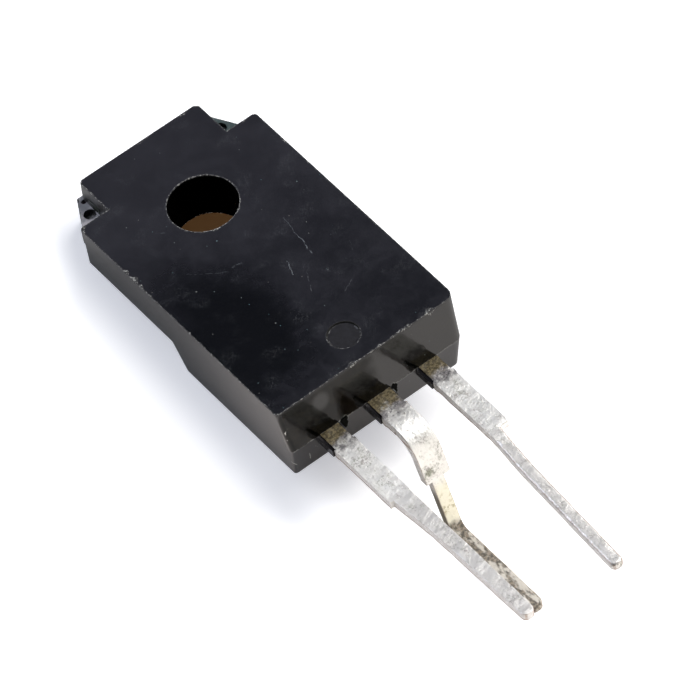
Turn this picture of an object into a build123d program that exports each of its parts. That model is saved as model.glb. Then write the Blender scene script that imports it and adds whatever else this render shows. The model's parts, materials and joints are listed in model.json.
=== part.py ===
from build123d import *
import os
from math import asin, atan2, degrees, hypot, radians, tan

# A triac in a fully insulated moulded package, with its centre lead formed
# away from the mounting face.  Every piece is drawn in the package's own axes:
# X across the body, Y from the leads to the head, Z out of the flat mounting
# face, with zero where the mounting hole's axis crosses that face.  Depths are
# counted from the mounting face.  At the end the finished pieces are tipped
# together about X, as the package lies on a flat surface: mounting face up,
# standing on the head end of its front side and on the bend of the formed lead.

# ---- moulded body ----
body_width = 10.0            # at the mounting face, where the body is widest
body_thickness = 4.45
tab_thickness = 2.65         # the thin end that the screw passes through
parting_depth = 2.38         # mounting face to the parting plane of the mould
head_reach = 5.0             # hole axis to the head end of the mounting face
tail_reach = 12.1            # hole axis to the lead end of the mounting face
hole_radius = 1.67
corner_radius = 0.3          # upright corners at the lead end
front_edge_radius = 0.2
side_draft = 3.9             # degrees, one slope from the mounting face to the front
end_draft = 10.6             # degrees, both ways from the parting line
head_draft = 3.0             # degrees, also of the notch walls
step_reach = 3.5             # hole axis to the root of the step on the front side
step_draft = 21.0            # degrees that the step leans from upright
step_root_radius = 0.35

# ---- notches at the two head corners ----
head_width = 6.75            # at the mounting face
notch_reach = 2.7            # hole axis to the shoulder of each notch
ledge_depth = 1.05
slant_reach = 2.5            # hole axis to where the slanted corner leaves the side
slant_head_width = 7.2       # across the slanted corners at the head end
slant_radius = 1.0           # where the slanted corner runs into the side
notch_corner_radius = 0.2    # upright corners of the head and of the shoulders
tie_bar_pit_radius = 0.3
tie_bar_pit_depth = 0.3
pin_pit_radius = 0.13
pin_pit_depth = 0.2
pin_pit_setback = 0.3        # pit centre from the head end

# ---- ejector mark on the mounting face ----
ejector_reach = 10.5
ejector_radius = 0.76
ejector_depth = 0.07

# ---- leads ----
pin_pitch = 2.54
lead_thickness = 0.45
t1_length = 14.6             # body to tip, along the strip
t2_length = 14.35
gate_length = 14.05
neck_length = 1.1            # body to the cut tie between the leads
shoulder_length = 5.15       # body to the step in width
neck_relief = 0.06           # how much narrower the neck is on each side
outer_shoulder_inside = 0.32     # edges of the broad part, from the pitch line
outer_shoulder_outside = 0.8
centre_shoulder_width = 1.36
centre_pin_width = 0.7
centre_pin_shift = 0.05      # towards the gate
tip_radius = 0.29
taper_length = 2.5           # step to the pin's even width

# edges of the outer pins, inside and outside the pitch line: at the step, at
# the end of the taper and at the tip; the T1 pin leans towards the centre
t1_pin_edges = ((0.32, 0.32), (0.58, 0.07), (0.95, -0.29))
gate_pin_edges = ((0.3, 0.62), (0.3, 0.43), (0.3, 0.33))
flash_width = 0.16           # resin left beside each neck, on the gate's side
flash_stub_width = 0.09      # and broken short on the other side of two of them
flash_stub_length = 0.45
flash_sink = 0.05            # its top, below the face of the lead

# ---- forming of the centre lead ----
form_run = 3.0               # body to the first bend
form_drop = 5.17             # how far the tip lies below the other leads
form_advance = 1.65          # how far the slanted stretch gains towards the tip
first_bend_radius = 1.4
second_bend_radius = 0.7

# ---- inside the resin ----
pad_depth = 0.6              # resin over the die pad
pad_half_width = 4.1
pad_head_reach = 1.7
pad_tail_reach = 9.4
pad_ring_radius = 3.75
pad_hole_clearance = 0.9
tie_bar_width = 0.8
tie_bar_reach = 3.9
tie_bar_stem = 3.0           # width of the strip that joins it to the ring
downset_run = 1.7
downset_radius = 0.5
post_depth = 2.2             # how far the bonding posts reach into the body
post_length = 1.4
t1_post_inside = 0.95
t1_post_outside = 1.15
gate_post_inside = 0.6
gate_post_outside = 0.85
solder_thickness = 0.06
solder_margin = 0.1
chip_side = 3.6
chip_thickness = 0.25
chip_reach = 6.9
t1_wire_radius = 0.19
gate_wire_radius = 0.1
wire_loop_height = 0.55      # lowest point of the loop beyond the post
bond_foot_length = 0.7

# ---- levels of the body's outline, from the sizes above ----
front_rise = body_thickness - parting_depth
parting_tail = tail_reach + parting_depth * tan(radians(end_draft))
front_tail = parting_tail - front_rise * tan(radians(end_draft))
parting_head = head_reach + parting_depth * tan(radians(head_draft))
front_head = parting_head - front_rise * tan(radians(head_draft))
parting_width = body_width - 2 * parting_depth * tan(radians(side_draft))
front_width = body_width - 2 * body_thickness * tan(radians(side_draft))
ledge_head_width = head_width + 2 * ledge_depth * tan(radians(head_draft))
rear_level = (0, body_width, tail_reach, head_reach)
parting_level = (parting_depth, parting_width, parting_tail, parting_head)
front_level = (body_thickness, front_width, front_tail, front_head)

lead_plane = Plane.XY.offset(-parting_depth)
lead_front_depth = parting_depth + lead_thickness
overcut = 1.0                # how far cuts run on past the body

# ---- outer leads: flat strips with a bonding post inside the body ----
outer_leads = {}
for label, side, length, pin_edges, post_inside, post_outside in (
    ("t1_lead", 1, t1_length, t1_pin_edges, t1_post_inside, t1_post_outside),
    ("gate_lead", -1, gate_length, gate_pin_edges, gate_post_inside, gate_post_outside),
):
    neck_inside = outer_shoulder_inside - neck_relief
    neck_outside = outer_shoulder_outside - neck_relief
    lead_steps = (
        (post_inside, post_outside, parting_tail - post_depth, post_length),
        (neck_inside, neck_outside, parting_tail - post_depth, post_depth + neck_length),
        (outer_shoulder_inside, outer_shoulder_outside, parting_tail + neck_length,
         shoulder_length - neck_length),
    )
    pin_reaches = (shoulder_length, shoulder_length + taper_length, length)
    with BuildPart() as lead:
        with BuildSketch(lead_plane) as lead_plan:
            for inside, outside, reach, step_length in lead_steps:
                with Locations((side * (pin_pitch + (outside - inside) / 2), -reach)):
                    Rectangle(inside + outside, step_length, align=(Align.CENTER, Align.MAX))
            with BuildLine():
                Polyline(
                    *((side * (pin_pitch - inside), -parting_tail - reach)
                      for (inside, _), reach in zip(pin_edges, pin_reaches)),
                    *((side * (pin_pitch + outside), -parting_tail - reach)
                      for (_, outside), reach in reversed(list(zip(pin_edges, pin_reaches)))),
                    close=True,
                )
            make_face()
            fillet(lead_plan.vertices().sort_by(Axis.Y)[:2], tip_radius)
        extrude(amount=-lead_thickness)
    lead.part.label = label
    outer_leads[label] = lead

# ---- centre lead and die pad: one stamped and formed strip ----
pad_level = -pad_depth - lead_thickness / 2
lead_level = -parting_depth - lead_thickness / 2
tip_level = lead_level - form_drop
first_bend = (-parting_tail - form_run, lead_level)
second_bend = (first_bend[0] - form_advance, tip_level)
strip_used = form_run + hypot(form_advance, form_drop)
tip_y = second_bend[0] - (t2_length - strip_used)

with BuildPart() as t2_lead_frame:
    with BuildLine(Plane.YZ) as strip_path:
        FilletPolyline(
            (-pad_tail_reach + downset_run, pad_level),
            (-pad_tail_reach, pad_level),
            (-pad_tail_reach - downset_run, lead_level),
            first_bend,
            second_bend,
            (tip_y, tip_level),
            radius=[downset_radius, downset_radius, first_bend_radius, second_bend_radius],
        )
    with BuildSketch(Plane(strip_path.line @ 0, x_dir=(1, 0, 0), z_dir=strip_path.line % 0)):
        Rectangle(centre_shoulder_width, lead_thickness)
    sweep()
    # the neck, between the body and the cut tie
    neck_width = centre_shoulder_width - 2 * neck_relief
    with BuildSketch(lead_plane.offset(overcut)):
        with Locations((0, -parting_tail + overcut)):
            Rectangle(centre_shoulder_width, neck_length + overcut,
                      align=(Align.CENTER, Align.MAX))
            Rectangle(neck_width, neck_length + overcut,
                      align=(Align.CENTER, Align.MAX), mode=Mode.SUBTRACT)
    extrude(amount=-lead_thickness - 2 * overcut, mode=Mode.SUBTRACT)
    # the pin, from the step in width down to the tip
    step_drop = shoulder_length - form_run
    with BuildSketch(Plane.XZ.offset(parting_tail + overcut)):
        with Locations((0, lead_level - step_drop)):
            Rectangle(centre_shoulder_width, body_width, align=(Align.CENTER, Align.MAX))
        with Locations((-centre_pin_shift, lead_level - step_drop)):
            Rectangle(centre_pin_width, body_width, align=(Align.CENTER, Align.MAX),
                      mode=Mode.SUBTRACT)
    extrude(amount=t2_length, mode=Mode.SUBTRACT)
    fillet(t2_lead_frame.edges().filter_by(Axis.Z).group_by(Axis.Y)[0], tip_radius)
    # the die pad, with a ring round the mounting hole and its cut tie bar
    with BuildSketch(Plane.XY.offset(-pad_depth)):
        with Locations((0, pad_head_reach)):
            Rectangle(2 * pad_half_width, pad_head_reach + pad_tail_reach,
                      align=(Align.CENTER, Align.MAX))
        Circle(pad_ring_radius)
        with Locations((0, tie_bar_reach)):
            Rectangle(ledge_head_width, tie_bar_width)
        Rectangle(tie_bar_stem, tie_bar_reach, align=(Align.CENTER, Align.MIN))
        Circle(hole_radius + pad_hole_clearance, mode=Mode.SUBTRACT)
    extrude(amount=-lead_thickness)
t2_lead_frame.part.label = "t2_lead_frame"

# ---- chip, soldered to the front side of the pad ----
solder_level = -pad_depth - lead_thickness
chip_level = solder_level - solder_thickness
bond_level = chip_level - chip_thickness

with BuildPart() as die_attach_solder:
    with BuildSketch(Plane.XY.offset(solder_level)):
        with Locations((0, -chip_reach)):
            Rectangle(chip_side + 2 * solder_margin, chip_side + 2 * solder_margin)
    extrude(amount=-solder_thickness)
die_attach_solder.part.label = "die_attach_solder"

with BuildPart() as triac_chip:
    with BuildSketch(Plane.XY.offset(chip_level)):
        with Locations((0, -chip_reach)):
            Rectangle(chip_side, chip_side)
    extrude(amount=-chip_thickness)
triac_chip.part.label = "triac_chip"

# ---- bond wires: each leaves a flattened foot on the chip, loops towards the
# front and ends in a flattened foot on its lead's post ----
post_y = -parting_tail + post_depth - post_length / 2
wire_drop = lead_front_depth + bond_level
bond_wires = {}
for label, radius, chip_x, post_x in (
    ("t1_bond_wire", t1_wire_radius, chip_side / 6, pin_pitch),
    ("gate_bond_wire", gate_wire_radius, -chip_side / 3, -pin_pitch),
):
    start = Vector(chip_x, -chip_reach - chip_side / 4, bond_level)
    along = Vector(post_x, post_y, bond_level) - start
    run = along.length
    loop_plane = Plane(start, x_dir=along, z_dir=along.cross(Vector(0, 0, 1)))
    with BuildPart() as wire:
        with BuildLine(loop_plane) as wire_path:
            FilletPolyline(
                (0, -radius),
                (bond_foot_length, -radius),
                (run / 2, -wire_drop - wire_loop_height),
                (run - bond_foot_length / 2, -wire_drop - radius),
                (run + bond_foot_length / 2, -wire_drop - radius),
                radius=3 * radius,
            )
        with BuildSketch(Plane(wire_path.line @ 0, z_dir=wire_path.line % 0)):
            Circle(radius)
        sweep()
        with BuildSketch(loop_plane):
            with Locations((bond_foot_length / 2, 0), (run, -wire_drop)):
                Rectangle(bond_foot_length, 1.2 * radius, align=(Align.CENTER, Align.MAX))
        extrude(amount=1.3 * radius, both=True)
    wire.part.label = label
    bond_wires[label] = wire

# ---- moulded body, cast round everything above ----
with BuildPart() as epoxy_body:
    for half in ((rear_level, parting_level), (parting_level, front_level)):
        for depth, width, tail, head in half:
            with BuildSketch(Plane.XY.offset(-depth)):
                with Locations((0, (head - tail) / 2)):
                    RectangleRounded(width, head + tail, corner_radius)
        loft(ruled=True)
    # the thin end: the front side is stepped back to the tab's thickness
    step_foot = step_reach + (body_thickness + overcut - tab_thickness) * tan(radians(step_draft))
    with BuildSketch(Plane.YZ) as step_waste:
        with BuildLine():
            Polyline(
                (-step_reach, -tab_thickness),
                (parting_head + overcut, -tab_thickness),
                (parting_head + overcut, -body_thickness - overcut),
                (-step_foot, -body_thickness - overcut),
                close=True,
            )
        make_face()
        fillet(step_waste.vertices().group_by(Axis.Z)[-1].sort_by(Axis.Y)[0], step_root_radius)
    extrude(amount=body_width, both=True, mode=Mode.SUBTRACT)
    fillet(epoxy_body.faces().sort_by(Axis.Z)[0].edges(), front_edge_radius)
    # slanted corners below the ledge, narrow head and shoulders above it
    plan_reach = parting_head + overcut
    with BuildSketch(Plane.XY.offset(-ledge_depth)) as slanted_plan:
        with BuildLine():
            Polyline(
                (0, -parting_tail),
                (body_width / 2, -parting_tail),
                (body_width / 2, slant_reach),
                (slant_head_width / 2, parting_head),
                (slant_head_width / 2, plan_reach),
                (0, plan_reach),
                close=True,
            )
        make_face()
        fillet(slanted_plan.vertices().sort_by_distance((body_width / 2, slant_reach))[0],
               slant_radius)
        mirror(about=Plane.YZ)
    slanted_part = extrude(amount=ledge_depth - body_thickness, mode=Mode.PRIVATE)
    with BuildSketch(Plane.XY) as notched_plan:
        with Locations((0, notch_reach)):
            Rectangle(body_width, notch_reach + parting_tail, align=(Align.CENTER, Align.MAX))
            Rectangle(head_width, head_reach - notch_reach, align=(Align.CENTER, Align.MIN))
        fillet(notched_plan.vertices().filter_by(lambda corner: corner.Y > 0
               and corner.X**2 + corner.Y**2 > head_width**2 / 4 + notch_reach**2 + 1),
               notch_corner_radius)
    notched_part = extrude(amount=-ledge_depth, taper=-head_draft, mode=Mode.PRIVATE)
    add(notched_part + slanted_part, mode=Mode.INTERSECT)
    # pits in the ledge, beside the cut tie bar and where a mould pin stood
    with BuildSketch(Plane.XY.offset(-ledge_depth)):
        for side in (-1, 1):
            with Locations((side * (ledge_head_width / 2 + tie_bar_pit_radius), tie_bar_reach)):
                Circle(tie_bar_pit_radius)
    extrude(amount=-tie_bar_pit_depth, mode=Mode.SUBTRACT)
    with BuildSketch(Plane.XY.offset(-ledge_depth)):
        for side in (-1, 1):
            with Locations((side * (ledge_head_width + pin_pit_radius) / 2,
                            head_reach - pin_pit_setback)):
                Circle(pin_pit_radius)
    extrude(amount=-pin_pit_depth, mode=Mode.SUBTRACT)
    # mounting hole and ejector mark
    Hole(hole_radius, depth=body_thickness)
    with BuildSketch(Plane.XY):
        with Locations((0, -ejector_reach)):
            Circle(ejector_radius)
    extrude(amount=-ejector_depth, mode=Mode.SUBTRACT)
    # resin flash beside the neck of each lead, as far as the cut tie
    outer_neck = outer_shoulder_outside + outer_shoulder_inside - 2 * neck_relief
    outer_shift = pin_pitch + (outer_shoulder_outside - outer_shoulder_inside) / 2
    necks = ((-outer_shift, outer_neck), (0, neck_width), (outer_shift, outer_neck))
    with BuildSketch(lead_plane.offset(-flash_sink)):
        for x, width in necks:
            with Locations((x, -parting_tail + overcut)):
                Rectangle(width / 2 + flash_width, neck_length + overcut,
                          align=(Align.MAX, Align.MAX))
        for x, width in necks[:2]:
            with Locations((x, -parting_tail + overcut)):
                Rectangle(width / 2 + flash_stub_width, flash_stub_length + overcut,
                          align=(Align.MIN, Align.MAX))
    extrude(amount=-lead_thickness + flash_sink)
    # the space that the inner pieces take
    for piece in (t2_lead_frame, die_attach_solder, triac_chip,
                  *outer_leads.values(), *bond_wires.values()):
        add(piece.part, mode=Mode.SUBTRACT)
epoxy_body.part.label = "epoxy_body"

# ---- the pose it lies in ----
# the formed lead stands on the round of its second bend
bend_turn = atan2(form_drop, form_advance)
foot_y = second_bend[0] - second_bend_radius * tan(bend_turn / 2)
foot_z = tip_level + second_bend_radius
foot_radius = second_bend_radius + lead_thickness / 2


def lean(y, z, radius=0.0):
    """Degrees of the line that grazes the lead's foot and a round at (y, z) from below."""
    rise = z - foot_z
    reach = y - foot_y
    return degrees(atan2(rise, reach) - asin((radius - foot_radius) / hypot(rise, reach)))


step_edge_y = -step_reach - (body_thickness - tab_thickness) * tan(radians(step_draft))
round_setback = front_edge_radius * tan(radians(90 - step_draft) / 2)
tab_head = parting_head - (tab_thickness - parting_depth) * tan(radians(head_draft))
rest_tilt = min(
    lean(step_edge_y - round_setback, front_edge_radius - body_thickness, front_edge_radius),
    lean(tab_head, -tab_thickness),
)
lying = Location((0, 0, 0), (-rest_tilt, 0, 0))

os.makedirs("parts", exist_ok=True)
for piece in (epoxy_body, t2_lead_frame, die_attach_solder, triac_chip,
              *outer_leads.values(), *bond_wires.values()):
    piece.part.location = lying
    export_step(piece.part, f"parts/{piece.part.label}.step")
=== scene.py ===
import json
from math import ceil, cos, radians, sin, tan

import bmesh
import bpy
from mathutils import Matrix, Vector, noise
from mathutils.bvhtree import BVHTree
from mathutils.kdtree import KDTree


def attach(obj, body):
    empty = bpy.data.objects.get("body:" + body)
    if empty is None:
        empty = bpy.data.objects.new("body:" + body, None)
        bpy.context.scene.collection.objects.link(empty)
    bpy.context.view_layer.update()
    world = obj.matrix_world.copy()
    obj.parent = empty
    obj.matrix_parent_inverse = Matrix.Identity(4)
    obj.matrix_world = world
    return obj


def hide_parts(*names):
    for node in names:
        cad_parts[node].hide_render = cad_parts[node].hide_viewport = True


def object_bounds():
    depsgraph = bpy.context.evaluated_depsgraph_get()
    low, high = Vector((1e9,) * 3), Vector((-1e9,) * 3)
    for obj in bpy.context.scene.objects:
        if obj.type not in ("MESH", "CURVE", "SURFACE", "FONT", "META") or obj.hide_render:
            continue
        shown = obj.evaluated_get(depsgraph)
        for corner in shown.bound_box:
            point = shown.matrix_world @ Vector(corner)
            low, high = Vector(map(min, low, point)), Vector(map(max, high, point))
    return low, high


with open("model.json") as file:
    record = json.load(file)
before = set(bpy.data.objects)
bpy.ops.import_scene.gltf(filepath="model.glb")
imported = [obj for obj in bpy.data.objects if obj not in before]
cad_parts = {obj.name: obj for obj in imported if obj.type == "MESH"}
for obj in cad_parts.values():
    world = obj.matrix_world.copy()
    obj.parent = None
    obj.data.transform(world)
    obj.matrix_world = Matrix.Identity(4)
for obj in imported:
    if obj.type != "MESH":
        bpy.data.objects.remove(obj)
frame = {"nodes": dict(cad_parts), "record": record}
cad_box = [list(corner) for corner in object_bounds()]

# ---- Moulded body --------------------------------------------------------
# The real piece is black epoxy, filled with fine silica and pressed round the
# leads in a two-part mould.  Here it is the solid's own shape with its edges
# worn round, nicked where it knocked about, and a thin flash at the parting.

# package axes: X across, Y to the head, Z out of the mounting face, in mm
MM = 0.001
hole = next(m for m in frame["record"]["mounts"] if m["name"] == "mounting_hole")
across = Vector((1, 0, 0))
outwards = Vector(hole["axis"]).normalized()
headwards = outwards.cross(across)
from_package = Matrix.Translation(hole["pos_m"]) @ Matrix(
    (across, headwards, outwards)
).transposed().to_4x4() @ Matrix.Scale(MM, 4)
to_package = from_package.inverted()


def bench_mesh(node):
    """A CAD piece in package axes, with its flat faces whole."""
    bench = bmesh.new()
    bench.from_mesh(frame["nodes"][node].data)
    bench.transform(to_package)
    bmesh.ops.remove_doubles(bench, verts=bench.verts, dist=0.0005)
    bmesh.ops.dissolve_limit(
        bench, angle_limit=radians(0.5), verts=bench.verts, edges=bench.edges
    )
    return bench


def outer_edges(bench, least_turn):
    """Edges that stand out and turn by more than least_turn degrees."""
    return [
        edge for edge in bench.edges
        if len(edge.link_faces) == 2 and edge.is_convex
        and edge.calc_face_angle(0.0) > radians(least_turn)
    ]


def round_edges(bench, edges, width):
    bmesh.ops.bevel(
        bench, geom=edges, offset=width, offset_type="OFFSET", segments=4,
        profile=0.5, affect="EDGES", clamp_overlap=True,
    )


def slice_up(bench, normal, start, end, step):
    """Cuts the mesh by evenly spaced planes, so that it has points to move."""
    count = ceil((end - start) / step)
    for index in range(1, count):
        place = Vector(normal) * (start + (end - start) * index / count)
        geometry = bench.verts[:] + bench.edges[:] + bench.faces[:]
        bmesh.ops.bisect_plane(
            bench, geom=geometry, plane_co=place, plane_no=normal, dist=1e-4
        )


def edge_points(edges, spacing=0.05):
    """A search tree of points along the edges as they were before rounding."""
    points = []
    for edge in edges:
        start, end = (vert.co.copy() for vert in edge.verts)
        count = ceil((end - start).length / spacing)
        points += [start.lerp(end, index / count) for index in range(count + 1)]
    tree = KDTree(len(points))
    for index, point in enumerate(points):
        tree.insert(point, index)
    tree.balance()
    return tree


def wear_edges(bench, tree, width, reach, nick_depth):
    """Draws the surface back from each sharp edge by the depth of the nick there.

    The distance that is left to the worn rim is kept on the points as rim_gap."""
    rim_gap = bench.verts.layers.float.new("rim_gap")
    for vert in bench.verts:
        edge_point, _, distance = tree.find(vert.co)
        depth = nick_depth(edge_point)
        if 1e-6 < distance < reach:
            drawn = distance + depth * (1 - distance / reach)
            vert.co = edge_point + (vert.co - edge_point) * (drawn / distance)
        vert[rim_gap] = distance - width - depth


def finished_piece(bench, name, slot, material, *nodes):
    """Puts the bench mesh in the frame as a piece that stands for CAD nodes.

    No point of it sinks below the level that the part lies on."""
    bench.transform(from_package)
    for vert in bench.verts:
        vert.co.z = max(vert.co.z, cad_box[0][2])
    bmesh.ops.recalc_face_normals(bench, faces=bench.faces)
    mesh = bpy.data.meshes.new(name)
    bench.to_mesh(mesh)
    bench.free()
    mesh.shade_smooth()
    mesh.set_sharp_from_angle(angle=radians(35))
    mesh.materials.append(material)
    piece = bpy.data.objects.new(name, mesh)
    bpy.context.scene.collection.objects.link(piece)
    flat = piece.modifiers.new("flat faces", "WEIGHTED_NORMAL")
    flat.keep_sharp = True
    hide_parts(*nodes)
    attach(piece, "root")


class Nodes:
    """Adds shader nodes to one tree; each call gives back the new node's output."""

    def __init__(self, tree):
        self.tree = tree

    def add(self, kind, inputs, output=0, **settings):
        node = self.tree.nodes.new(kind)
        for setting, value in settings.items():
            setattr(node, setting, value)
        for socket, value in inputs.items():
            target = node.inputs[socket]
            if isinstance(value, bpy.types.NodeSocket):
                self.tree.links.new(value, target)
            else:
                target.default_value = (*value, 1.0) if target.type == "RGBA" else value
        return node.outputs[output]

    def math(self, operation, first, second=0.0):
        return self.add("ShaderNodeMath", {0: first, 1: second}, operation=operation)

    def vector(self, operation, first, second=(0, 0, 0), output=0):
        return self.add(
            "ShaderNodeVectorMath", {0: first, 1: second}, output, operation=operation
        )

    def product(self, first, *others):
        for other in others:
            first = self.math("MULTIPLY", first, other)
        return first

    def most(self, first, *others):
        for other in others:
            first = self.math("MAXIMUM", first, other)
        return first

    def rest(self, mask):
        """What a mask leaves over."""
        return self.math("SUBTRACT", 1.0, mask)

    def apart(self, place):
        """The three parts of a place."""
        return self.add("ShaderNodeSeparateXYZ", {0: place}).node.outputs

    def length(self, place):
        return self.vector("LENGTH", place, output="Value")

    def turned_to(self, axis):
        """How squarely the surface faces along an axis, from -1 to 1."""
        facing = self.add("ShaderNodeNewGeometry", {}, "Normal")
        return self.vector("DOT_PRODUCT", facing, tuple(axis), "Value")

    def fade(self, value, start, end, low=0.0, high=1.0):
        """A smooth step from low at start to high at end."""
        return self.add(
            "ShaderNodeMapRange",
            {"Value": value, 1: start, 2: end, 3: low, 4: high},
            interpolation_type="SMOOTHSTEP",
        )

    def noise(self, place, scale, detail=2.0, roughness=0.5, distortion=0.0):
        return self.add("ShaderNodeTexNoise", {
            "Vector": place, "Scale": scale, "Detail": detail,
            "Roughness": roughness, "Distortion": distortion,
        })

    def patches(self, start, end, place, scale, detail=2.0, roughness=0.5, distortion=0.0):
        """A mask of soft patches: noise, faded in between two of its levels."""
        return self.fade(
            self.noise(place, scale, detail, roughness, distortion), start, end
        )

    def blend(self, share, first, second):
        """A colour between first and second."""
        return self.add(
            "ShaderNodeMix", {0: share, 6: first, 7: second}, 2, data_type="RGBA"
        )

    def paint(self, colour, tone, mask, share=1.0):
        """Lays a tone over a colour where the mask is, by no more than the share."""
        return self.blend(mask if share == 1.0 else self.product(mask, share), colour, tone)

    def mix(self, share, first, second):
        """A value between first and second."""
        return self.add("ShaderNodeMix", {0: share, 2: first, 3: second})

    def group(self, group, inputs, output=0):
        return self.add("ShaderNodeGroup", inputs, output, node_tree=group)

    def bump(self, height, depth, normal=None):
        """The surface normal over a relief of the given depth in metres."""
        inputs = {"Height": height, "Distance": depth, "Strength": 1.0}
        if normal is not None:
            inputs["Normal"] = normal
        return self.add("ShaderNodeBump", inputs)


def new_group(name, inputs, output, kind="NodeSocketFloat"):
    """An empty node group: its nodes, its input sockets by name, and its end."""
    group = bpy.data.node_groups.new(name, "ShaderNodeTree")
    for socket, (socket_kind, value) in inputs.items():
        made = group.interface.new_socket(socket, in_out="INPUT", socket_type=socket_kind)
        if value is not None:
            made.default_value = value
    group.interface.new_socket(output, in_out="OUTPUT", socket_type=kind)
    start = group.nodes.new("NodeGroupInput")
    end = group.nodes.new("NodeGroupOutput")
    return group, Nodes(group), start.outputs, end.inputs[0]


def new_material(name):
    """An empty material: itself, its nodes and its Principled shader."""
    material = bpy.data.materials.new(name)
    material.use_nodes = True
    tree = material.node_tree
    tree.nodes.clear()
    end = tree.nodes.new("ShaderNodeOutputMaterial")
    shader = tree.nodes.new("ShaderNodeBsdfPrincipled")
    tree.links.new(shader.outputs[0], end.inputs["Surface"])
    return material, Nodes(tree), shader


def wire_shader(nodes, shader, inputs):
    for socket, value in inputs.items():
        if isinstance(value, bpy.types.NodeSocket):
            nodes.tree.links.new(value, shader.inputs[socket])
        else:
            shader.inputs[socket].default_value = value


VECTOR = "NodeSocketVector"
FLOAT = "NodeSocketFloat"

# where a point lies in package axes, in millimetres
package_place, nodes, _, end = new_group("package_place", {}, "Place", VECTOR)
object_place = nodes.add("ShaderNodeTexCoord", {}, "Object")
turned = [
    nodes.vector("DOT_PRODUCT", object_place, tuple(axis / MM), "Value")
    for axis in (across, headwards, outwards)
]
place = nodes.add("ShaderNodeCombineXYZ", dict(enumerate(turned)))
nodes.tree.links.new(place, end)

# a fine straight scratch that breaks up along its length
scratch_line, nodes, given, end = new_group(
    "scratch_line",
    {"Place": (VECTOR, None), "Start": (VECTOR, (0, 0, 0)), "End": (VECTOR, (1, 0, 0)),
     "Width": (FLOAT, 0.03), "Break": (FLOAT, 0.5)},
    "Mask",
)
wobble = nodes.add("ShaderNodeTexNoise", {"Vector": given["Place"], "Scale": 1.5}, "Color")
wobble = nodes.vector("SUBTRACT", wobble, (0.5, 0.5, 0.5))
wobble = nodes.vector("MULTIPLY", wobble, (0.3, 0.3, 0.0))
spot = nodes.vector("ADD", given["Place"], wobble)
along = nodes.vector("SUBTRACT", given["End"], given["Start"])
from_start = nodes.vector("SUBTRACT", spot, given["Start"])
travel = nodes.vector("DOT_PRODUCT", from_start, along, "Value")
travel = nodes.math("DIVIDE", travel, nodes.vector("DOT_PRODUCT", along, along, "Value"))
travel = nodes.add("ShaderNodeClamp", {0: travel})
foot = nodes.add("ShaderNodeVectorMath", {0: along, 3: travel}, operation="SCALE")
gap = nodes.vector("DISTANCE", from_start, foot, "Value")
line = nodes.fade(gap, given["Width"], 0.0)
breaks = nodes.noise(given["Place"], 5.0, 3.0, 0.7)
breaks = nodes.fade(breaks, given["Break"], nodes.math("ADD", given["Break"], 0.12))
nodes.tree.links.new(nodes.product(line, breaks), end)

# sparse grains, such as dust or pits
grains, nodes, given, end = new_group(
    "grains",
    {"Place": (VECTOR, None), "Per millimetre": (FLOAT, 2.0), "Size": (FLOAT, 0.03),
     "Share": (FLOAT, 0.2)},
    "Mask",
)
wobble = nodes.add("ShaderNodeTexNoise", {"Vector": given["Place"], "Scale": 14.0}, "Color")
wobble = nodes.vector("MULTIPLY", wobble, (0.04, 0.04, 0.04))
spot = nodes.vector("ADD", given["Place"], wobble)
cell = nodes.add(
    "ShaderNodeTexVoronoi", {"Vector": spot, "Scale": given["Per millimetre"]}, "Distance"
)
number = nodes.add(
    "ShaderNodeTexVoronoi", {"Vector": spot, "Scale": given["Per millimetre"]}, "Color"
)
number = nodes.add("ShaderNodeSeparateColor", {0: number}, 0)
size = nodes.product(given["Size"], given["Per millimetre"])
near = nodes.fade(cell, size, nodes.product(size, 0.5))
chosen = nodes.math("LESS_THAN", number, given["Share"])
nodes.tree.links.new(nodes.product(near, chosen), end)

# faint parallel hairlines, as from wiping
wipe_marks, nodes, given, end = new_group(
    "wipe_marks",
    {"Place": (VECTOR, None), "Turn": (FLOAT, 0.5), "Fineness": (FLOAT, 9.0)},
    "Mask",
)
turned = nodes.add(
    "ShaderNodeVectorRotate", {"Vector": given["Place"], "Angle": given["Turn"]},
    rotation_type="Z_AXIS",
)
stretched = nodes.vector("MULTIPLY", turned, (0.25, 1.0, 1.0))
lines = nodes.noise(stretched, given["Fineness"], 2.0, 0.6, 0.3)
lines = nodes.math("ABSOLUTE", nodes.math("SUBTRACT", lines, 0.5))
lines = nodes.fade(lines, 0.012, 0.0)
patches = nodes.noise(given["Place"], 0.7, 2.0)
patches = nodes.fade(patches, 0.52, 0.66)
nodes.tree.links.new(nodes.product(lines, patches), end)

# scratches on the mounting face: start, end, width, how broken up and how pale
REAR_SCRATCHES = (
    ((2.15, -3.2, 0), (2.0, -4.6, 0), 0.024, 0.4, 0.35),
    ((2.0, -4.5, 0), (1.83, -5.7, 0), 0.035, 0.4, 0.6),
    ((0.72, -5.35, 0), (0.42, -6.25, 0), 0.035, 0.4, 0.55),
    ((-3.2, -2.7, 0), (-2.3, -3.45, 0), 0.022, 0.46, 0.2),
    ((-2.4, -3.4, 0), (-1.55, -4.0, 0), 0.024, 0.44, 0.25),
    ((-1.3, -3.95, 0), (-0.85, -4.05, 0), 0.035, 0.44, 0.45),
    ((3.5, -6.35, 0), (3.25, -7.0, 0), 0.02, 0.44, 0.3),
    ((0.98, -6.5, 0), (0.5, -7.5, 0), 0.018, 0.44, 0.3),
    ((-2.6, 0.1, 0), (-2.2, -0.3, 0), 0.022, 0.44, 0.3),
    ((1.6, -8.6, 0), (2.4, -8.1, 0), 0.02, 0.44, 0.3),
)
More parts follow.
